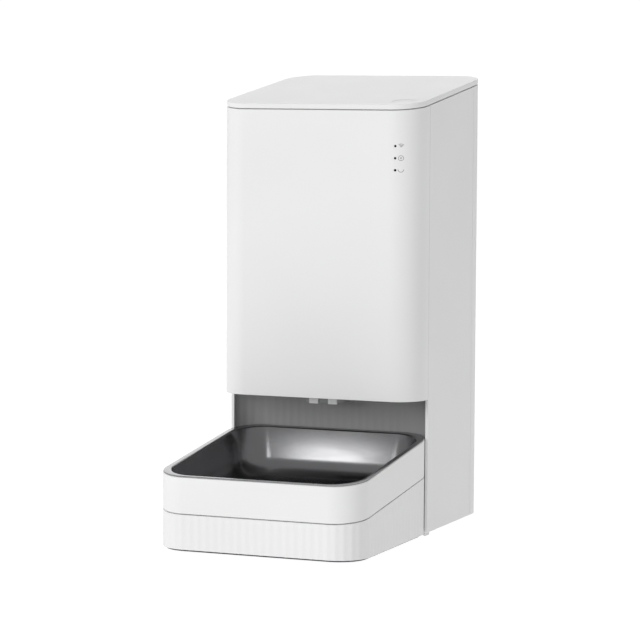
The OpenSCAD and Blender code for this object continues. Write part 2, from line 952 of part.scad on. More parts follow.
module base_screws() {
    color(bright_steel)
    for (p = base_holes())
        translate([p[0], p[1], skirt_z]) mirror([0, 0, 1]) screw(10);
}

module housing_screws() {
    color(bright_steel)
    for (p = ear_holes()) translate([p[0], p[1], floor_z + frame_t]) screw(7);
}

module gearbox_screws() {
    color(bright_steel)
    for (p = case_holes())
        translate([p[0], p[1], frame_z - sunk_head]) screw(8);
}

module board_screws() {
    color(bright_steel)
    for (p = board_holes())
        translate([p[0], board_y, p[1]]) rotate([90, 0, 0]) screw(5);
}

// ---- lid ----

module lid_top() {
    color(shell_white)
    difference() {
        union() {
            prism(lid_roof, lid_slope, body_h, lid_slope) body_2d();
            prism(lid_bottom, lid_slope, lid_roof, lid_slope)
                difference() {
                    body_2d();
                    body_2d(wall);
                }
        }
        translate([button_x, button_y, button_top - 20]) cylinder(r = button_r + 0.25, h = 40);
    }
}

module lid_liner() {
    channel_wall = 1.6;
    half_bolt = bolt_w / 2 + 0.2;
    channel_low = button_top + bolt_top - bolt_h - 0.15;
    color(part_white)
    difference() {
        union() {
            prism(shell_top, lid_slope, lid_roof, lid_slope) body_2d(wall + 0.2);
            // plug that reaches into the hopper's mouth
            prism(shell_top - plug_h, lid_slope, shell_top, lid_slope)
                difference() {
                    hopper_2d(hopper_wall + 1.2);
                    hopper_2d(hopper_wall + 3);
                }
            // socket for the desiccant box
            prism(shell_top - socket_h, lid_slope, shell_top, lid_slope)
                translate([0, desiccant_y])
                    difference() {
                        circle(desiccant_r + 2.2);
                        circle(desiccant_r + slip);
                    }
            // spring cup of the button
            prism(button_top + cup_floor - 1.2, 0, shell_top, lid_slope)
                translate([button_x, button_y]) circle(cup_r + 1.6);
            // channel of the bolt
            prism(channel_low - 1.2, 0, shell_top, lid_slope)
                intersection() {
                    translate([button_x + bolt_tail - 6, button_y - half_bolt - channel_wall])
                        square([26, 2 * (half_bolt + channel_wall)]);
                    hopper_2d(hopper_wall + 1.2);
                }
        }
        // room for the button's cap, spring and stem
        prism(shell_top + 0.75, lid_slope, lid_roof + 1, lid_slope)
            translate([button_x, button_y]) circle(button_r + 0.4);
        translate([button_x, button_y, button_top + cup_floor]) cylinder(r = cup_r, h = 20);
        translate([button_x, button_y, button_top - 30]) cylinder(r = stem_r + 0.25, h = 40);
        translate([button_x, button_y, channel_low - 2]) cylinder(r = stem_r + 0.9, h = 3);
        // room for the bolt and its spring
        translate([button_x + bolt_tail - 4.4, button_y - half_bolt, channel_low])
            cube([40, 2 * half_bolt, bolt_h + 0.3]);
    }
}

module lid_seal() {
    color(soft_grey)
    prism(shell_top - 5, lid_slope, shell_top - 2, lid_slope)
        difference() {
            hopper_2d(hopper_wall + 0.4);
            hopper_2d(hopper_wall + 1.2);
        }
}

// Helix of round wire standing on the origin; faceted
module coil_spring(coil_r, wire_r, length, turns) {
    sides = 8;
    steps = turns * 16;
    rise = (length - 2 * wire_r) / steps;
    points = [for (i = [0 : steps], k = [0 : sides - 1])
        let (a = i * 360 / 16, b = k * 360 / sides, r = coil_r + wire_r * cos(b))
        [r * cos(a), r * sin(a), wire_r + i * rise + wire_r * sin(b)]];
    walls = [for (i = [0 : steps - 1], k = [0 : sides - 1])
        let (n = (k + 1) % sides)
        [i * sides + k, i * sides + n, (i + 1) * sides + n, (i + 1) * sides + k]];
    start = [for (k = [sides - 1 : -1 : 0]) k];
    end = [for (k = [0 : sides - 1]) steps * sides + k];
    polyhedron(points = points, faces = concat([start], walls, [end]), convexity = 10);
}

module bolt_spring() {
    color(bright_steel)
    translate([button_x + bolt_tail - 4.3, button_y, button_top + bolt_top - bolt_h / 2])
        rotate([0, 90, 0]) coil_spring(1.15, 0.25, 6.2, 6);
}

module button_spring() {
    seat_z = button_top + cup_floor;
    cap_z = button_top + lid_slope * -cup_r - button_sink - button_t;
    color(bright_steel)
    translate([button_x, button_y, seat_z]) coil_spring(3.6, 0.35, cap_z - seat_z, 5);
}

module lid_button() {
    stem_low = bolt_top - bolt_h + 0.5;
    color(shell_white) {
        prism(body_h - button_sink - button_t, lid_slope, body_h - button_sink, lid_slope)
            translate([button_x, button_y]) circle(button_r);
        translate([button_x, button_y, button_top])
            difference() {
                translate([0, 0, stem_low]) cylinder(r = stem_r, h = -stem_low - 1.2);
                // slanted end that pushes the bolt back
                rotate([90, 0, 0])
                    linear_extrude(height = 20, center = true)
                        polygon([
                            [-wedge_sum - stem_low, stem_low],
                            [stem_r - wedge_sum - stem_low - 20, stem_low],
                            [-20, 20 - wedge_sum]
                        ]);
            }
    }
}

module latch_bolt() {
    low = bolt_top - bolt_h;
    slant = wedge_sum + wedge_gap;
    window_right = stem_r + 0.3 + button_travel;
    color(gear_tan)
    translate([button_x, button_y, button_top])
        difference() {
            translate([bolt_tail, -bolt_w / 2, low]) cube([bolt_tip - bolt_tail, bolt_w, bolt_h]);
            rotate([90, 0, 0])
                linear_extrude(height = 2 * stem_r + 0.8, center = true)
                    polygon([
                        [-slant - bolt_top - 1, bolt_top + 1], [-slant - low + 1, low - 1],
                        [window_right, low - 1], [window_right, bolt_top + 1]
                    ]);
            translate([bolt_tail - 1, 0, low + bolt_h / 2])
                rotate([0, 90, 0]) cylinder(r = 1.75, h = 5);
        }
}

module desiccant_box() {
    color(soft_grey)
    difference() {
        prism(shell_top - desiccant_h, lid_slope, shell_top - 0.3, lid_slope)
            translate([0, desiccant_y]) circle(desiccant_r);
        prism(shell_top - desiccant_h - 1, lid_slope, shell_top - 2, lid_slope)
            translate([0, desiccant_y]) circle(desiccant_r - 1.6);
    }
}

module desiccant_grille() {
    color(part_white)
    prism(shell_top - desiccant_h, lid_slope, shell_top - desiccant_h + 1.6, lid_slope)
        translate([0, desiccant_y])
            difference() {
                circle(desiccant_r - 1.6);
                for (i = [-3 : 3])
                    translate([7 * i - 1.2, -18]) square([2.4, 36]);
            }
}

// ---- tray and bowl ----

module tray_base() {
    boss_h = 12;
    color(shell_white)
    difference() {
        union() {
            prism(tray_skirt_z, 0, ring_seam - ring_gap, ring_slope)
                difference() {
                    tray_2d();
                    flutes_2d(tray_half, tray_front_y, tray_back_y, tray_r, 1);
                    tray_2d(tray_wall);
                }
            for (side = [-1, 1], y = tray_boss_ys)
                translate([side * tray_boss_x, y, tray_skirt_z + plate_t])
                    cylinder(r = 5, h = boss_h);
        }
        for (side = [-1, 1], y = tray_boss_ys)
            translate([side * tray_boss_x, y, tray_skirt_z]) cylinder(r = screw_r + 0.05, h = 12);
    }
}

module tray_ring() {
    lip_h = 5;
    rim_low = tray_top_z - steel_t;
    color(shell_white)
    difference() {
        union() {
            prism(ring_seam, ring_slope, rim_low, rim_slope) tray_2d();
            // lip that sits inside the fluted base
            prism(ring_seam - lip_h, ring_slope, ring_seam + 1, ring_slope)
                tray_2d(tray_wall + 0.2);
        }
        prism(ring_seam + 3, ring_slope, rim_low - ledge_t, rim_slope) tray_2d(tray_wall);
        prism(ring_seam - lip_h - 1, ring_slope, ring_seam + 4, ring_slope)
            tray_2d(tray_wall + 1.6);
        prism(ring_seam - 1, ring_slope, tray_top_z + 5, rim_slope) bowl_2d(steel_t + 0.4);
    }
}

module tray_bottom() {
    color(dark)
    difference() {
        translate([0, 0, foot_t])
            linear_extrude(height = tray_skirt_z + plate_t - foot_t) tray_2d(tray_wall + 0.3);
        for (side = [-1, 1], y = tray_boss_ys)
            translate([side * tray_boss_x, y, 0]) {
                cylinder(r = screw_r + 0.1, h = 12);
                cylinder(r = 2 * screw_r + 0.3, h = foot_t + 2.2);
            }
    }
}

module tray_feet() {
    color([0.08, 0.08, 0.08])
    for (side = [-1, 1], y = [tray_front_y + 20, tray_back_y - 20])
        translate([side * (tray_half - 22), y, 0]) cylinder(r = foot_r, h = foot_t);
}

module tray_screws() {
    color(bright_steel)
    for (side = [-1, 1], y = tray_boss_ys)
        translate([side * tray_boss_x, y, foot_t + 2.2])
            mirror([0, 0, 1]) screw(8);
}

module steel_bowl() {
    floor_plane = tray_top_z - bowl_depth;
    color(steel)
    difference() {
        union() {
            prism(tray_top_z - steel_t, rim_slope, tray_top_z, rim_slope) tray_2d(0.5);
            prism(floor_plane - steel_t, rim_slope, tray_top_z - steel_t / 2, rim_slope)
                bowl_2d(steel_t);
        }
        prism(floor_plane, rim_slope, tray_top_z + 5, rim_slope) bowl_2d();
    }
}

front_cover();
side_panel(-1);  // left_side_panel
side_panel(1);  // right_side_panel
rear_cover();
base_plate();
body_feet();
niche_wall();
niche_ceiling();
mid_frame();
support_posts();
top_frame();
hopper();
hopper_gasket();
rotor_housing();
portion_guard();
rotor_bush();
outlet_chute();
outlet_tabs();
gearbox_case();
gearbox_cover();
idler_pin();
motor();
main_board();
board_parts();
indicator_board();
light_pipes();
power_inlet();
frame_screws();
base_screws();
housing_screws();
gearbox_screws();
board_screws();
reset_button();
rotor_shaft();
drive_gear();
rotor_hub();
rotor_blades();
agitator();
idler_gear();
motor_shaft();
motor_pinion();
lid_top();
lid_liner();
lid_seal();
bolt_spring();
button_spring();
lid_button();
latch_bolt();
desiccant_box();
desiccant_grille();
tray_base();
tray_ring();
tray_bottom();
tray_feet();
tray_screws();
steel_bowl();
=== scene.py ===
"""Automatic pet feeder: a white tower with a food hopper, a recess with the food outlet, and a
pull-out tray with a polished steel bowl.

Metres. X to the right, Y to the back, Z up. Heights of sloping faces are those at the side seam.
"""
import json
import math

import bmesh
import bpy
from mathutils import Matrix, Vector

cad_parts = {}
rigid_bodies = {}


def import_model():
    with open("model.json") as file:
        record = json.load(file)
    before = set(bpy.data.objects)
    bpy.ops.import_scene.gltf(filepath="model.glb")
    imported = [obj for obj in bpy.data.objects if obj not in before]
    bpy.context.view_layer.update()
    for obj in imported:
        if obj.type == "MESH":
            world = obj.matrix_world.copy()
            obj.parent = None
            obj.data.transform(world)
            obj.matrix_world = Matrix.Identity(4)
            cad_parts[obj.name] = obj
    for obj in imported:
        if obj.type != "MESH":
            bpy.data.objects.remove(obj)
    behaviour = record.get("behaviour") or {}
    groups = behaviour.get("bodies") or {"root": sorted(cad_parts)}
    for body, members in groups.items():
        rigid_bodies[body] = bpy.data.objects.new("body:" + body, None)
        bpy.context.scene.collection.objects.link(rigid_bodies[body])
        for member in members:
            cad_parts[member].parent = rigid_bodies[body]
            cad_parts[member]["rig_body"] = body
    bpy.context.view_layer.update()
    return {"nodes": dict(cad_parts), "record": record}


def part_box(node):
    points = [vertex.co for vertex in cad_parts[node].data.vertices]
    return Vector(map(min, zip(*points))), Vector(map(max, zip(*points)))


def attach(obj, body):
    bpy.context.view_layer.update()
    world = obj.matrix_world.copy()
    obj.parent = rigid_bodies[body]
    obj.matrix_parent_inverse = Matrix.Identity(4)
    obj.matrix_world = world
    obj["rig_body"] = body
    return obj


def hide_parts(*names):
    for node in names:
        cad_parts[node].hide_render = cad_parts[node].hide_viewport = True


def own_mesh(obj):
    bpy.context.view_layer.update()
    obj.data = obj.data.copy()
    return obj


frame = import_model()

MM = 0.001

# ---- sizes of the design ----

LID_SLOPE = math.tan(math.radians(7.95))
RIM_SLOPE = math.tan(math.radians(7.64))
RING_SLOPE = math.tan(math.radians(7.15))
WALL = 2.4 * MM
SEAM_GAP = 0.5 * MM
FRONT_R = 24 * MM
REAR_R = 24.5 * MM
TRAY_R = 25 * MM
OPENING_R = 24.3 * MM
LID_EDGE_H = 4 * MM
LID_ROOF_T = 2.4 * MM
LID_GAP = 0.8 * MM
LID_TOP_Z = 345.8 * MM
BUTTON_R = 8.8 * MM
BUTTON_GAP = 0.25 * MM
BUTTON_INSET = 18.5 * MM
BUTTON_SINK = 0.4 * MM
BUTTON_CAP_T = 1.9 * MM
STEM_R = 2.4 * MM
# Depths under the lid's top face: the stem's end inside the cap, and its slant at its middle
STEM_TOP = 2 * MM
STEM_WEDGE = 12.1 * MM
INLET_R = 4.5 * MM
INLET_GAP = 0.1 * MM
RESET_R = 3.8 * MM
RESET_GAP = 0.2 * MM
RIM_Z = 79 * MM
RIM_W = 4.8 * MM
STEEL_T = 0.8 * MM
RING_H = 30 * MM
RING_GAP = 0.4 * MM
BOWL_DEPTH = 38 * MM
BOWL_DRAFT = 6.5 * MM
BOWL_SLIP = 0.3 * MM
RIM_INSET = 0.5 * MM
SYMBOL_OFFSET = 4.3 * MM
SYMBOL_LINE = 0.42 * MM
INK_T = 0.05 * MM
INK_LIFT = 0.02 * MM

# ---- roundings ----

EDGE_R = 0.25 * MM
LID_TOP_EDGE_R = 0.6 * MM
LID_LOW_EDGE_R = 0.35 * MM
BUTTON_EDGE_R = 0.35 * MM
RING_EDGE_R = 0.5 * MM
RIM_ROLL_R = 1.2 * MM
SHEET_EDGE_R = 0.2 * MM
BOWL_FOOT_R = 15 * MM
SOFT_EDGES = (("tray_base", 0.35 * MM), ("niche_wall", 0.3 * MM), ("niche_ceiling", 0.3 * MM),
              ("outlet_chute", 0.35 * MM), ("outlet_tabs", 0.25 * MM), ("base_plate", 0.3 * MM),
              ("tray_bottom", 0.4 * MM), ("tray_feet", 0.3 * MM), ("body_feet", 0.5 * MM))

# ---- how finishes and meshes are made ----

# Most of a noise's factor lies between these two
NOISE_LOW = 0.3
NOISE_HIGH = 0.7
CORNER_SEGMENTS = 24
FOOT_SEGMENTS = 12
ROUND_SEGMENTS = 96
FULL_REACH = 0.5
# A block inside another has a lower reach, so that joining their ends pairs the right points
LESS_REACH = 0.3
# How far a hole's cutter stands out of the wall, and how far it goes in
CUTTER_OUT = 5 * MM
CUTTER_IN = 12 * MM
LID_CUTTER_REACH = 20 * MM
MERGE_DIST = 0.002 * MM
FLAT_ANGLE = math.radians(0.5)
SHARP_ANGLE = math.radians(35)
SHEET_SHARP_ANGLE = math.radians(50)
ARC_STEP_DEG = 9

# ---- light and camera ----

FLOOR_HALF = 30
FLOOR_GLOW = 0.96
SKY_SOFT = 0.32
SKY_MIRRORED = 0.3
SKY_SEEN = 1.05
TOWER_MIDDLE = Vector((0, 0, 0.15))
EYE = Vector((0.84505, -2.07380, 0.36190))
TARGET = Vector((-0.00755, 0.0081, 0.16907))
ROLL = math.radians(0.29)
LENS_MM = 158.75
SENSOR_MM = 36

# ---- places in the frame ----

HALF_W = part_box("lid_top")[1].x
FRONT_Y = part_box("lid_top")[0].y
REAR_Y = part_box("lid_top")[1].y
SEAM_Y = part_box("right_side_panel")[0].y - SEAM_GAP / 2
REAR_SEAM_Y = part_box("right_side_panel")[1].y + SEAM_GAP / 2
COVER_BOTTOM_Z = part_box("front_cover")[0].z
SKIRT_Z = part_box("right_side_panel")[0].z
SHELL_TOP_Z = LID_TOP_Z - LID_EDGE_H - LID_GAP
TRAY_HALF_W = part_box("tray_ring")[1].x
TRAY_FRONT_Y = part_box("tray_ring")[0].y
TRAY_BACK_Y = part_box("tray_ring")[1].y
BUTTON_X = HALF_W - BUTTON_INSET
BUTTON_Y = FRONT_Y + BUTTON_INSET
LAMP_X = (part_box("light_pipes")[0].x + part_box("light_pipes")[1].x) / 2
LAMP_R = (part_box("light_pipes")[1].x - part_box("light_pipes")[0].x) / 2
LAMP_TOP_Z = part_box("light_pipes")[1].z - LAMP_R
LAMP_LOW_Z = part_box("light_pipes")[0].z + LAMP_R


# ---- materials ----

def new_material(name):
    """A material, with its tree and its shader."""
    material = bpy.data.materials.new(name)
    material.use_nodes = True
    tree = material.node_tree
    return material, tree, tree.nodes["Principled BSDF"]


def noise(tree, scale, detail=3.0, stretch=(1, 1, 1)):
    """Noise over the piece's own coordinates; its factor output."""
    coords = tree.nodes.new("ShaderNodeTexCoord")
    mapping = tree.nodes.new("ShaderNodeMapping")
    mapping.inputs["Scale"].default_value = stretch
    texture = tree.nodes.new("ShaderNodeTexNoise")
    texture.inputs["Scale"].default_value = scale
    texture.inputs["Detail"].default_value = detail
    tree.links.new(coords.outputs["Object"], mapping.inputs["Vector"])
    tree.links.new(mapping.outputs["Vector"], texture.inputs["Vector"])
    return texture.outputs["Fac"]


def ramp(tree, factor, stops):
    """Colours between two stops of (position, colour)."""
    node = tree.nodes.new("ShaderNodeValToRGB")
    for element, (position, colour) in zip(node.color_ramp.elements, stops):
        element.position = position
        element.color = (*colour, 1)
    tree.links.new(factor, node.inputs["Fac"])
    return node.outputs["Color"]


def spread(tree, factor, low, high):
    """The factor's middle part stretched to run from low to high."""
    node = tree.nodes.new("ShaderNodeMapRange")
    node.inputs["From Min"].default_value = NOISE_LOW
    node.inputs["From Max"].default_value = NOISE_HIGH
    node.inputs["To Min"].default_value = low
    node.inputs["To Max"].default_value = high
    tree.links.new(factor, node.inputs["Value"])
    return node.outputs["Result"]


def grain(tree, shader, heights, strength, distance):
    """Fine relief from a height factor."""
    bump = tree.nodes.new("ShaderNodeBump")
    bump.inputs["Strength"].default_value = strength
    bump.inputs["Distance"].default_value = distance
    tree.links.new(heights, bump.inputs["Height"])
    tree.links.new(bump.outputs["Normal"], shader.inputs["Normal"])


def moulded_plastic(name, colour, roughness, grain_size=0.35 * MM, grain_depth=0.02 * MM,
                    shade=0.97):
    """Moulded plastic: fine spark-eroded grain, slow flow tone and slightly uneven gloss."""
    material, tree, shader = new_material(name)
    darker = tuple(c * shade for c in colour)
    tone = ramp(tree, noise(tree, 9, 2), [(0.3, darker), (0.7, colour)])
    tree.links.new(tone, shader.inputs["Base Color"])
    gloss = spread(tree, noise(tree, 35, 4), roughness - 0.04, roughness + 0.05)
    tree.links.new(gloss, shader.inputs["Roughness"])
    shader.inputs["IOR"].default_value = 1.5
    grain(tree, shader, noise(tree, 1 / grain_size, 2), 0.35, grain_depth)
    return material


def bowl_steel():
    """Deep-drawn stainless steel, satin polished, with fine drawing lines and faint wipe marks."""
    material, tree, shader = new_material("bowl_steel")
    tone = ramp(tree, noise(tree, 14, 3), [(0.35, (0.36, 0.36, 0.37)), (0.65, (0.4, 0.4, 0.41))])
    tree.links.new(tone, shader.inputs["Base Color"])
    shader.inputs["Metallic"].default_value = 1.0
    lines = noise(tree, 60, 3, stretch=(0.5, 2, 2))
    tree.links.new(spread(tree, lines, 0.2, 0.25), shader.inputs["Roughness"])
    grain(tree, shader, noise(tree, 700, 2, stretch=(0.2, 1, 1)), 0.08, 0.002 * MM)
    return material


def machine_steel():
    """Zinc-plated steel with turning marks."""
    material, tree, shader = new_material("machine_steel")
    tone = ramp(tree, noise(tree, 120, 3), [(0.3, (0.50, 0.50, 0.52)), (0.7, (0.68, 0.68, 0.70))])
    tree.links.new(tone, shader.inputs["Base Color"])
    shader.inputs["Metallic"].default_value = 1.0
    marks = noise(tree, 400, 3, stretch=(1, 1, 8))
    tree.links.new(spread(tree, marks, 0.26, 0.4), shader.inputs["Roughness"])
    grain(tree, shader, marks, 0.15, 0.01 * MM)
    return material


def sintered_bronze():
    """Porous bronze of a self-oiling bush."""
    material, tree, shader = new_material("sintered_bronze")
    pores = noise(tree, 1500, 3)
    tone = ramp(tree, pores, [(0.35, (0.30, 0.19, 0.09)), (0.55, (0.66, 0.45, 0.22))])
    tree.links.new(tone, shader.inputs["Base Color"])
    shader.inputs["Metallic"].default_value = 1.0
    tree.links.new(spread(tree, pores, 0.5, 0.35), shader.inputs["Roughness"])
    grain(tree, shader, pores, 0.4, 0.03 * MM)
    return material


def soft_silicone():
    """Soft translucent silicone with a dusty, slightly wavy skin."""
    material, tree, shader = new_material("soft_silicone")
    tone = ramp(tree, noise(tree, 30, 4), [(0.3, (0.44, 0.47, 0.50)), (0.7, (0.52, 0.56, 0.60))])
    tree.links.new(tone, shader.inputs["Base Color"])
    shader.inputs["Subsurface Weight"].default_value = 0.15
    shader.inputs["Subsurface Radius"].default_value = (0.002, 0.002, 0.002)
    tree.links.new(spread(tree, noise(tree, 80, 3), 0.5, 0.62), shader.inputs["Roughness"])
    grain(tree, shader, noise(tree, 700, 2), 0.2, 0.03 * MM)
    return material


def foot_rubber():
    """Black rubber with a fine blasted skin and pale dust on it."""
    material, tree, shader = new_material("foot_rubber")
    tone = ramp(tree, noise(tree, 60, 5), [(0.35, (0.022, 0.022, 0.023)), (0.8, (0.06, 0.06, 0.058))])
    tree.links.new(tone, shader.inputs["Base Color"])
    tree.links.new(spread(tree, noise(tree, 90, 3), 0.7, 0.85), shader.inputs["Roughness"])
    grain(tree, shader, noise(tree, 1800, 2), 0.5, 0.05 * MM)
    return material


def hopper_plastic():
    """Smoky grey food-grade plastic with a soft gloss."""
    material, tree, shader = new_material("hopper_plastic")
    tone = ramp(tree, noise(tree, 7, 3), [(0.3, (0.38, 0.41, 0.44)), (0.7, (0.46, 0.49, 0.52))])
    tree.links.new(tone, shader.inputs["Base Color"])
    tree.links.new(spread(tree, noise(tree, 25, 3), 0.22, 0.32), shader.inputs["Roughness"])
    shader.inputs["Coat Weight"].default_value = 0.15
    grain(tree, shader, noise(tree, 160, 2), 0.08, 0.03 * MM)
    return material


def circuit_board():
    """Green solder resist over copper tracks."""
    material, tree, shader = new_material("circuit_board")
    coords = tree.nodes.new("ShaderNodeTexCoord")
    tracks = tree.nodes.new("ShaderNodeTexBrick")
    tracks.inputs["Scale"].default_value = 260
    tracks.inputs["Mortar Size"].default_value = 0.035
    tracks.inputs["Color1"].default_value = (0.015, 0.11, 0.05, 1)
    tracks.inputs["Color2"].default_value = (0.02, 0.13, 0.06, 1)
    tracks.inputs["Mortar"].default_value = (0.05, 0.24, 0.11, 1)
    turned = tree.nodes.new("ShaderNodeMapping")
    turned.inputs["Rotation"].default_value = (math.radians(90), 0, 0)
    tree.links.new(coords.outputs["Object"], turned.inputs["Vector"])
    tree.links.new(turned.outputs["Vector"], tracks.inputs["Vector"])
    tree.links.new(tracks.outputs["Color"], shader.inputs["Base Color"])
    tree.links.new(spread(tree, noise(tree, 60), 0.28, 0.4), shader.inputs["Roughness"])
    grain(tree, shader, tracks.outputs["Fac"], 0.3, 0.03 * MM)
    return material


def lamp_lens():
    """Smoked lens of an indicator lamp, unlit."""
    material, tree, shader = new_material("lamp_lens")
    tone = ramp(tree, noise(tree, 900, 2), [(0.3, (0.008, 0.008, 0.009)), (0.7, (0.02, 0.02, 0.022))])
    tree.links.new(tone, shader.inputs["Base Color"])
    tree.links.new(spread(tree, noise(tree, 300), 0.4, 0.5), shader.inputs["Roughness"])
    shader.inputs["Specular IOR Level"].default_value = 0.15
    return material


def printed_ink():
    """Pale grey pad-printed ink with slightly thin spots."""
    material, tree, shader = new_material("printed_ink")
    tone = ramp(tree, noise(tree, 1500, 2), [(0.3, (0.30, 0.30, 0.31)), (0.7, (0.38, 0.38, 0.39))])
    tree.links.new(tone, shader.inputs["Base Color"])
    tree.links.new(spread(tree, noise(tree, 500), 0.5, 0.6), shader.inputs["Roughness"])
    return material


def studio_floor():
    """Glowing white floor of a light table, with a faint cloudy tone."""
    material, tree, shader = new_material("studio_floor")
    tone = ramp(tree, noise(tree, 1.5, 3), [(0.3, (0.10, 0.10, 0.10)), (0.7, (0.12, 0.12, 0.12))])
    tree.links.new(tone, shader.inputs["Base Color"])
    shader.inputs["Roughness"].default_value = 0.9
    shader.inputs["Specular IOR Level"].default_value = 0.1
    shader.inputs["Emission Color"].default_value = (1, 1, 1, 1)
    shader.inputs["Emission Strength"].default_value = FLOOR_GLOW
    return material


SHELL = moulded_plastic("shell_white", (0.86, 0.86, 0.86), 0.46)
FINISHES = {
    "shell_white": SHELL,
    "recess_grey": moulded_plastic("recess_grey", (0.33, 0.33, 0.335), 0.5, shade=0.94),
    "inner_white": moulded_plastic("inner_white", (0.72, 0.73, 0.74), 0.5, shade=0.95),
    "dark_plastic": moulded_plastic("dark_plastic", (0.045, 0.045, 0.05), 0.5, shade=0.8),
    "gear_plastic": moulded_plastic("gear_plastic", (0.78, 0.74, 0.62), 0.4, shade=0.95),
    "hopper_smoke": hopper_plastic(),
    "bowl_steel": bowl_steel(),
    "machine_steel": machine_steel(),
    "rubber_black": foot_rubber(),
    "silicone": soft_silicone(),
    "bronze": sintered_bronze(),
    "board_green": circuit_board(),
    "lamp_lens": lamp_lens(),
}
INK = printed_ink()


# ---- making pieces ----

def plane_matrix(z, slope):
    """Puts flat points on a plane with height z at the side seam, rising by slope to the back."""
    return Matrix(((1, 0, 0, 0), (0, 1, 0, 0), (0, slope, 0, z - slope * SEAM_Y), (0, 0, 0, 1)))


def add_block(bm, outline, reach=FULL_REACH):
    """Adds an upright block with rounded corners that reaches equally far under and over zero.

    outline is half width, front, back, front radius, back radius. Gives its low and high end.
    """
    half_w, y_front, y_back, r_front, r_back = outline
    made = bmesh.ops.create_cube(bm, size=1)["verts"]
    middle = (y_front + y_back) / 2
    bmesh.ops.scale(bm, vec=(2 * half_w, y_back - y_front, 2 * reach), verts=made)
    bmesh.ops.translate(bm, vec=(0, middle, 0), verts=made)
    upright = [e for e in {e for v in made for e in v.link_edges}
               if abs(e.verts[0].co.z - e.verts[1].co.z) > reach]
    front = [e for e in upright if e.verts[0].co.y < middle]
    back = [e for e in upright if e.verts[0].co.y > middle]
    before = set(bm.faces) - {f for v in made for f in v.link_faces}
    for edges, radius in ((front, r_front), (back, r_back)):
        bmesh.ops.bevel(bm, geom=edges, offset=radius, segments=CORNER_SEGMENTS, profile=0.5,
                        affect="EDGES", material=-1)
    ends = [f for f in bm.faces if f not in before and len(f.verts) > 4]
    return sorted(ends, key=lambda f: f.verts[0].co.z)


def set_heights(bm, low, high):
    """Moves points under zero to the low plane (height, slope), and those over it to the high."""
    under = [v for v in bm.verts if v.co.z < 0]
    over = [v for v in bm.verts if v.co.z > 0]
    bmesh.ops.transform(bm, matrix=plane_matrix(*low), verts=under)
    bmesh.ops.transform(bm, matrix=plane_matrix(*high), verts=over)
    bmesh.ops.recalc_face_normals(bm, faces=bm.faces)


def wall_ring(outer, inner, low, high):
    """A wall between two rounded outlines and two planes, with flat rims."""
    bm = bmesh.new()
    outer_ends = add_block(bm, outer)
    inner_ends = add_block(bm, inner, LESS_REACH)
    loops = [list(a.edges) + list(b.edges) for a, b in zip(outer_ends, inner_ends)]
    bmesh.ops.delete(bm, geom=[*outer_ends, *inner_ends], context="FACES_ONLY")
    for loop in loops:
        bmesh.ops.bridge_loops(bm, edges=loop)
    set_heights(bm, low, high)
    return bm


def keep_half(bm, place, outward):
    """Cuts the mesh by a plane and closes the cut; what lies outward is dropped."""
    geom = [*bm.verts, *bm.edges, *bm.faces]
    cut = bmesh.ops.bisect_plane(bm, geom=geom, plane_co=place, plane_no=outward, clear_outer=True)
    edges = [e for e in cut["geom_cut"] if isinstance(e, bmesh.types.BMEdge)]
    bmesh.ops.edgeloop_fill(bm, edges=edges)
    bmesh.ops.recalc_face_normals(bm, faces=bm.faces)


def round_edges(bm, radius, segments=3, pick=None):
    """Rounds the sharp edges, or those of them that pick says."""
    sharp = [e for e in bm.edges
             if len(e.link_faces) == 2 and e.calc_face_angle() > SHARP_ANGLE
             and (pick is None or pick(e))]
    bmesh.ops.bevel(bm, geom=sharp, offset=radius, segments=segments, profile=0.5,
                    affect="EDGES", material=-1, clamp_overlap=True)


def body_outline(inset=0):
    """The tower's outline, or one inside it."""
    return (HALF_W - inset, FRONT_Y + inset, REAR_Y - inset, FRONT_R - inset, REAR_R - inset)


def tray_outline(inset=0):
    """The tray's outline, or one inside it."""
    return (TRAY_HALF_W - inset, TRAY_FRONT_Y + inset, TRAY_BACK_Y - inset,
            TRAY_R - inset, TRAY_R - inset)


def bowl_outline(grow=0):
    """The inside of the bowl's rim, or an outline round it."""
    inset = RIM_W + BOWL_SLIP - grow
    return (TRAY_HALF_W - inset, TRAY_FRONT_Y + inset, TRAY_BACK_Y - inset,
            OPENING_R + grow, OPENING_R + grow)


def finish_piece(name, bm, material):
    """A smooth-shaded object from a bmesh, at the origin."""
    mesh = bpy.data.meshes.new(name)
    bm.to_mesh(mesh)
    bm.free()
    mesh.materials.append(material)
    mesh.shade_smooth()
    piece = bpy.data.objects.new(name, mesh)
    bpy.context.scene.collection.objects.link(piece)
    return piece


def even_normals(piece):
    """Keeps flat faces flat beside their small roundings."""
    modifier = piece.modifiers.new("even_normals", "WEIGHTED_NORMAL")
    modifier.weight = 80
    modifier.keep_sharp = True


def place(piece, body, slot_name, *stands_for):
    """Ties a piece to its body in place of frame nodes, which it hides; slot_name is not used."""
    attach(piece, body)
    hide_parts(*stands_for)


def cut_away(piece, cutter_bm):
    """Takes the cutter's form out of a piece."""
    cutter = finish_piece("cutter", cutter_bm, SHELL)
    modifier = piece.modifiers.new("cut", "BOOLEAN")
    modifier.operation = "DIFFERENCE"
    modifier.solver = "EXACT"
    modifier.object = cutter
    bpy.context.view_layer.update()
    evaluated = piece.evaluated_get(bpy.context.evaluated_depsgraph_get())
    cut_mesh = bpy.data.meshes.new_from_object(evaluated)
    piece.modifiers.clear()
    piece.data = cut_mesh
    cut_mesh.name = piece.name
    bpy.data.objects.remove(cutter)


def rod(bm, radius, start, end, segments=48):
    """Adds a round rod between two points."""
    start, end = Vector(start), Vector(end)
    along = end - start
    turn = along.to_track_quat("Z", "Y").to_matrix().to_4x4()
    bmesh.ops.create_cone(bm, cap_ends=True, segments=segments, radius1=radius, radius2=radius,
                          depth=along.length, matrix=Matrix.Translation((start + end) / 2) @ turn)


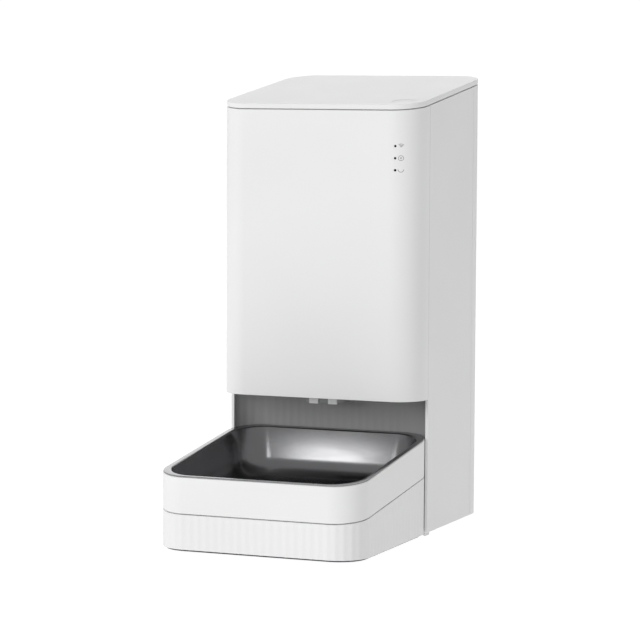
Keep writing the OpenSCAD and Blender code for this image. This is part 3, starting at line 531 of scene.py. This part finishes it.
def slot_of(node):
    """The material slot that the record gives a node."""
    return next(s["material_slot"] for s in frame["record"]["subparts"] if s["node"] == node)


def body_of(node):
    """The body that a frame node rides on."""
    return frame["nodes"][node]["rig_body"]


def node_copy(node):
    """A mesh of a frame node, with its loose triangles joined."""
    bm = bmesh.new()
    bm.from_mesh(frame["nodes"][node].data)
    bmesh.ops.remove_doubles(bm, verts=bm.verts, dist=MERGE_DIST)
    return bm


def softened(node, radius):
    """A copy of a frame node with its edges rounded, which stands for the node."""
    bm = node_copy(node)
    bmesh.ops.dissolve_limit(bm, angle_limit=FLAT_ANGLE, verts=bm.verts, edges=bm.edges)
    round_edges(bm, radius, segments=2)
    bmesh.ops.recalc_face_normals(bm, faces=bm.faces)
    piece = finish_piece(node + "_finished", bm, FINISHES[slot_of(node)])
    even_normals(piece)
    place(piece, body_of(node), slot_of(node), node)


# ---- tower shell ----

def lamp_heights():
    """Heights of the three lamps, from the top one down."""
    return [LAMP_TOP_Z, (LAMP_TOP_Z + LAMP_LOW_Z) / 2, LAMP_LOW_Z]


def front_cover():
    """The front part of the shell, with three lamp holes."""
    bm = wall_ring(body_outline(), body_outline(WALL), (COVER_BOTTOM_Z, 0),
                   (SHELL_TOP_Z, LID_SLOPE))
    keep_half(bm, (0, SEAM_Y - SEAM_GAP / 2, 0), (0, 1, 0))
    round_edges(bm, EDGE_R)
    piece = finish_piece("front_cover_shell", bm, SHELL)
    holes = bmesh.new()
    for z in lamp_heights():
        rod(holes, LAMP_R, (LAMP_X, FRONT_Y - CUTTER_OUT, z), (LAMP_X, FRONT_Y + CUTTER_IN, z), 32)
    cut_away(piece, holes)
    even_normals(piece)
    place(piece, "tower", "shell_white", "front_cover")


def side_panels():
    """The two flat side walls."""
    for side, name in ((-1, "left_side_panel"), (1, "right_side_panel")):
        bm = bmesh.new()
        corners = bmesh.ops.create_cube(bm, size=1)["verts"]
        length = REAR_SEAM_Y - SEAM_Y - SEAM_GAP
        bmesh.ops.scale(bm, vec=(WALL, length, 1), verts=corners)
        middle = (side * (HALF_W - WALL / 2), (SEAM_Y + REAR_SEAM_Y) / 2, 0)
        bmesh.ops.translate(bm, vec=middle, verts=corners)
        set_heights(bm, (SKIRT_Z, 0), (SHELL_TOP_Z, LID_SLOPE))
        round_edges(bm, EDGE_R)
        piece = finish_piece(name + "_shell", bm, SHELL)
        even_normals(piece)
        place(piece, "tower", "shell_white", name)


def rear_cover():
    """The rear part of the shell, with holes for the power inlet and the reset button."""
    bm = wall_ring(body_outline(), body_outline(WALL), (SKIRT_Z, 0), (SHELL_TOP_Z, LID_SLOPE))
    keep_half(bm, (0, REAR_SEAM_Y + SEAM_GAP / 2, 0), (0, -1, 0))
    round_edges(bm, EDGE_R)
    piece = finish_piece("rear_cover_shell", bm, SHELL)
    holes = bmesh.new()
    for node, radius in (("power_inlet", INLET_R + INLET_GAP), ("reset_button", RESET_R + RESET_GAP)):
        low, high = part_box(node)
        x = (low.x + high.x) / 2
        z = (low.z + high.z) / 2
        rod(holes, radius, (x, REAR_Y - CUTTER_IN, z), (x, REAR_Y + CUTTER_OUT, z))
    cut_away(piece, holes)
    even_normals(piece)
    place(piece, "tower", "shell_white", "rear_cover")


# ---- lid ----

def lid_face_z(y):
    """Height of the lid's top face at a depth."""
    return LID_TOP_Z + LID_SLOPE * (y - SEAM_Y)


def is_on_lid_top(edge):
    """Whether an edge of the lid lies nearer to its top face than to its lower edge."""
    return sum(v.co.z - lid_face_z(v.co.y) for v in edge.verts) / 2 > -LID_EDGE_H / 2


def lid_top():
    """Sloping lid plate with an edge all round and a hole for the button."""
    bm = bmesh.new()
    bottom = add_block(bm, body_outline())[0]
    set_heights(bm, (LID_TOP_Z - LID_EDGE_H, LID_SLOPE), (LID_TOP_Z, LID_SLOPE))
    bmesh.ops.inset_region(bm, faces=[bottom], thickness=WALL, use_even_offset=True)
    raised = bmesh.ops.extrude_face_region(bm, geom=[bottom])["geom"]
    bmesh.ops.delete(bm, geom=[bottom], context="FACES")
    roof = [v for v in raised if isinstance(v, bmesh.types.BMVert)]
    bmesh.ops.translate(bm, vec=(0, 0, LID_EDGE_H - LID_ROOF_T), verts=roof)
    bmesh.ops.recalc_face_normals(bm, faces=bm.faces)
    round_edges(bm, LID_TOP_EDGE_R, 4, is_on_lid_top)
    round_edges(bm, LID_LOW_EDGE_R, 2, lambda edge: not is_on_lid_top(edge))
    piece = finish_piece("lid_top_shell", bm, SHELL)
    hole = bmesh.new()
    z = lid_face_z(BUTTON_Y)
    rod(hole, BUTTON_R + BUTTON_GAP, (BUTTON_X, BUTTON_Y, z - LID_CUTTER_REACH),
        (BUTTON_X, BUTTON_Y, z + LID_CUTTER_REACH), ROUND_SEGMENTS)
    cut_away(piece, hole)
    even_normals(piece)
    place(piece, "lid", "shell_white", "lid_top")


def lid_button():
    """Round cap with a soft edge on a stem with a slanted end."""
    stem_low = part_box("lid_button")[0].z
    cap = bmesh.new()
    rod(cap, BUTTON_R, (BUTTON_X, BUTTON_Y, -1), (BUTTON_X, BUTTON_Y, 1), ROUND_SEGMENTS)
    top_z = LID_TOP_Z - BUTTON_SINK
    for side, z in ((-1, top_z - BUTTON_CAP_T), (1, top_z)):
        verts = [v for v in cap.verts if v.co.z * side > 0.5]
        bmesh.ops.transform(cap, matrix=plane_matrix(z, LID_SLOPE), verts=verts)
    round_edges(cap, BUTTON_EDGE_R)
    face_z = lid_face_z(BUTTON_Y)
    rod(cap, STEM_R, (BUTTON_X, BUTTON_Y, stem_low), (BUTTON_X, BUTTON_Y, face_z - STEM_TOP), 32)
    keep_half(cap, (BUTTON_X, BUTTON_Y, face_z - STEM_WEDGE), (-1, 0, -1))
    piece = finish_piece("lid_button_cap", cap, SHELL)
    even_normals(piece)
    place(piece, "lid_button", "shell_white", "lid_button")


def button_spring():
    """Return spring of the button, pressed together between its seat and the cap."""
    slot_name = slot_of("button_spring")
    piece = finish_piece("button_spring_coil", node_copy("button_spring"), FINISHES[slot_name])
    place(piece, body_of("button_spring"), slot_name, "button_spring")
    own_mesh(piece)


# ---- tray and bowl ----

def tray_ring():
    """Smooth upper ring of the tray, which the bowl's rim lies on."""
    bm = wall_ring(tray_outline(), bowl_outline(STEEL_T + RING_GAP), (RIM_Z - RING_H, RING_SLOPE),
                   (RIM_Z - STEEL_T, RIM_SLOPE))
    round_edges(bm, RING_EDGE_R)
    piece = finish_piece("tray_ring_shell", bm, SHELL)
    even_normals(piece)
    place(piece, "tray", "shell_white", "tray_ring")


def steel_bowl():
    """Deep-drawn bowl: flat rim, small roll into a leaning wall, and a round foot."""
    bm = bmesh.new()
    bottom, top = add_block(bm, bowl_outline())
    under_rim, rim = add_block(bm, tray_outline(RIM_INSET), LESS_REACH)
    loop = list(top.edges) + list(rim.edges)
    spare = list(under_rim.verts)
    bmesh.ops.delete(bm, geom=[top, rim], context="FACES_ONLY")
    bmesh.ops.bridge_loops(bm, edges=loop)
    bmesh.ops.delete(bm, geom=spare, context="VERTS")
    half_w, y_front, y_back = bowl_outline()[:3]
    middle = Matrix.Translation((0, -(y_front + y_back) / 2, 0))
    lean = (1 - BOWL_DRAFT / half_w, 1 - 2 * BOWL_DRAFT / (y_back - y_front), 1)
    bmesh.ops.scale(bm, vec=lean, space=middle, verts=list(bottom.verts))
    set_heights(bm, (RIM_Z - BOWL_DEPTH, RIM_SLOPE), (RIM_Z, RIM_SLOPE))
    bmesh.ops.bevel(bm, geom=list(bottom.edges), offset=BOWL_FOOT_R, segments=FOOT_SEGMENTS,
                    profile=0.5, affect="EDGES", material=-1)
    round_edges(bm, RIM_ROLL_R, 4)
    if sum(f.normal.z * f.calc_area() for f in bm.faces) < 0:
        bmesh.ops.reverse_faces(bm, faces=bm.faces)
    piece = finish_piece("steel_bowl_sheet", bm, FINISHES["bowl_steel"])
    sheet = piece.modifiers.new("sheet", "SOLIDIFY")
    sheet.thickness = STEEL_T
    sheet.offset = -1
    edge = piece.modifiers.new("edge", "BEVEL")
    edge.width = SHEET_EDGE_R
    edge.segments = 2
    edge.limit_method = "ANGLE"
    edge.angle_limit = SHEET_SHARP_ANGLE
    place(piece, "bowl", "bowl_steel", "steel_bowl")


# ---- lamps and symbols ----

def lamp_symbols():
    """Three small printed symbols beside the lamps: rays, a ringed dot and a bowl."""
    bm = bmesh.new()
    symbol_x = LAMP_X + SYMBOL_OFFSET
    half_line = SYMBOL_LINE / 2
    heights = lamp_heights()

    def arc(x, z, radius, first, last):
        """A flat arc of a printed line, angles in degrees from +X up."""
        out = Vector((math.cos(math.radians(first)), 0, math.sin(math.radians(first))))
        start = Vector((x, 0, z)) + out * radius
        a = bm.verts.new(start - out * half_line)
        b = bm.verts.new(start + out * half_line)
        edge = bm.edges.new((a, b))
        steps = int(abs(last - first) / ARC_STEP_DEG)
        bmesh.ops.spin(bm, geom=[a, b, edge], cent=(x, 0, z), axis=(0, -1, 0),
                       angle=math.radians(last - first), steps=steps, use_merge=True)

    def bar(x0, x1, z):
        """A flat level bar of a printed line."""
        low, high = z - half_line, z + half_line
        bm.faces.new([bm.verts.new(point) for point in
                      ((x0, 0, low), (x1, 0, low), (x1, 0, high), (x0, 0, high))])

    for radius in (0.9, 1.9, 2.9):
        arc(symbol_x, heights[0] - 1.3 * MM, radius * MM, 45, 135)
    arc(symbol_x, heights[1], 1.9 * MM, 0, 360)
    arc(symbol_x, heights[1], 0.5 * MM, 0, 360)
    arc(symbol_x, heights[2] + 0.5 * MM, 2.0 * MM, 180, 360)
    bar(symbol_x - 2.2 * MM, symbol_x + 2.2 * MM, heights[2] + 0.6 * MM)
    bmesh.ops.remove_doubles(bm, verts=bm.verts, dist=0.01 * MM)
    skin = FRONT_R + INK_LIFT
    for v in bm.verts:
        across = min(max(v.co.x - HALF_W + FRONT_R, 0), skin)
        v.co.y = FRONT_Y + FRONT_R - math.sqrt(skin ** 2 - across ** 2)
    bmesh.ops.recalc_face_normals(bm, faces=bm.faces)
    if sum(f.normal.y for f in bm.faces) > 0:
        bmesh.ops.reverse_faces(bm, faces=bm.faces)
    piece = finish_piece("lamp_symbols", bm, INK)
    ink = piece.modifiers.new("ink", "SOLIDIFY")
    ink.thickness = INK_T
    ink.offset = -1
    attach(piece, "tower")


# ---- floor, light and camera ----

def lay_floor():
    """A wide glowing floor under the feeder."""
    bm = bmesh.new()
    bmesh.ops.create_grid(bm, x_segments=1, y_segments=1, size=FLOOR_HALF)
    floor = finish_piece("floor", bm, studio_floor())


def sky(tree, strength):
    """An even white background of the given strength."""
    background = tree.nodes.new("ShaderNodeBackground")
    background.inputs["Color"].default_value = (1, 1, 1, 1)
    background.inputs["Strength"].default_value = strength
    return background.outputs["Background"]


def choose(tree, question, no, yes):
    """One shader where a ray's answer to the question is no, and another where it is yes."""
    mix = tree.nodes.new("ShaderNodeMixShader")
    tree.links.new(question, mix.inputs["Fac"])
    tree.links.new(no, mix.inputs[1])
    tree.links.new(yes, mix.inputs[2])
    return mix.outputs["Shader"]


def surround():
    """White all round, bright to the eye and softer as light and in mirrorings."""
    world = bpy.data.worlds.new("studio_light")
    bpy.context.scene.world = world
    world.use_nodes = True
    tree = world.node_tree
    tree.nodes.clear()
    output = tree.nodes.new("ShaderNodeOutputWorld")
    rays = tree.nodes.new("ShaderNodeLightPath")
    lit = choose(tree, rays.outputs["Is Glossy Ray"], sky(tree, SKY_SOFT), sky(tree, SKY_MIRRORED))
    seen = choose(tree, rays.outputs["Is Camera Ray"], lit, sky(tree, SKY_SEEN))
    tree.links.new(seen, output.inputs["Surface"])


def lights():
    """Four square lights, two of which the steel mirrors. Sizes in metres, powers in watts."""
    bowl_rear = Vector((0.005, TRAY_BACK_Y, 0.068))
    for name, location, aim, size, power, spread_deg, mirrored in (
            ("key_softbox", (-2.4, -5.0, 1.9), TOWER_MIDDLE, 2.6, 132, 180, False),
            ("top_softbox", (0.0, 0.6, 4.0), TOWER_MIDDLE, 2.4, 62, 180, False),
            ("rim_softbox", (-1.5, 3.4, 1.6), TOWER_MIDDLE, 2.0, 12, 180, True),
            ("bowl_light", (-0.125, -0.30, 0.135), bowl_rear, 0.06, 0.0014, 30, True)):
        light = bpy.data.lights.new(name, "AREA")
        light.size = size
        light.energy = power
        light.spread = math.radians(spread_deg)
        lamp = bpy.data.objects.new(name, light)
        lamp.location = location
        lamp.rotation_euler = (aim - Vector(location)).to_track_quat("-Z", "Y").to_euler()
        lamp.visible_camera = False
        lamp.visible_glossy = mirrored
        bpy.context.scene.collection.objects.link(lamp)


def camera():
    """Long-lens camera in front, to the right and a little above."""
    data = bpy.data.cameras.new("camera")
    data.lens = LENS_MM
    data.sensor_width = SENSOR_MM
    data.clip_start = 0.05
    data.clip_end = 200
    turn = (TARGET - EYE).to_track_quat("-Z", "Y").to_matrix().to_4x4()
    made = bpy.data.objects.new("camera", data)
    made.matrix_world = Matrix.Translation(EYE) @ turn @ Matrix.Rotation(ROLL, 4, "Z")
    bpy.context.scene.collection.objects.link(made)
    bpy.context.scene.camera = made


def give_finishes():
    """Gives every frame node the finish of its slot."""
    for name, node in frame["nodes"].items():
        for slot in node.material_slots:
            slot.material = FINISHES[slot_of(name)]


camera()
lay_floor()
surround()
lights()
bpy.context.scene.view_settings.view_transform = "Standard"
give_finishes()
front_cover()
side_panels()
rear_cover()
lid_top()
lid_button()
button_spring()
tray_ring()
steel_bowl()
for soft_node, soft_radius in SOFT_EDGES:
    softened(soft_node, soft_radius)
lamp_symbols()
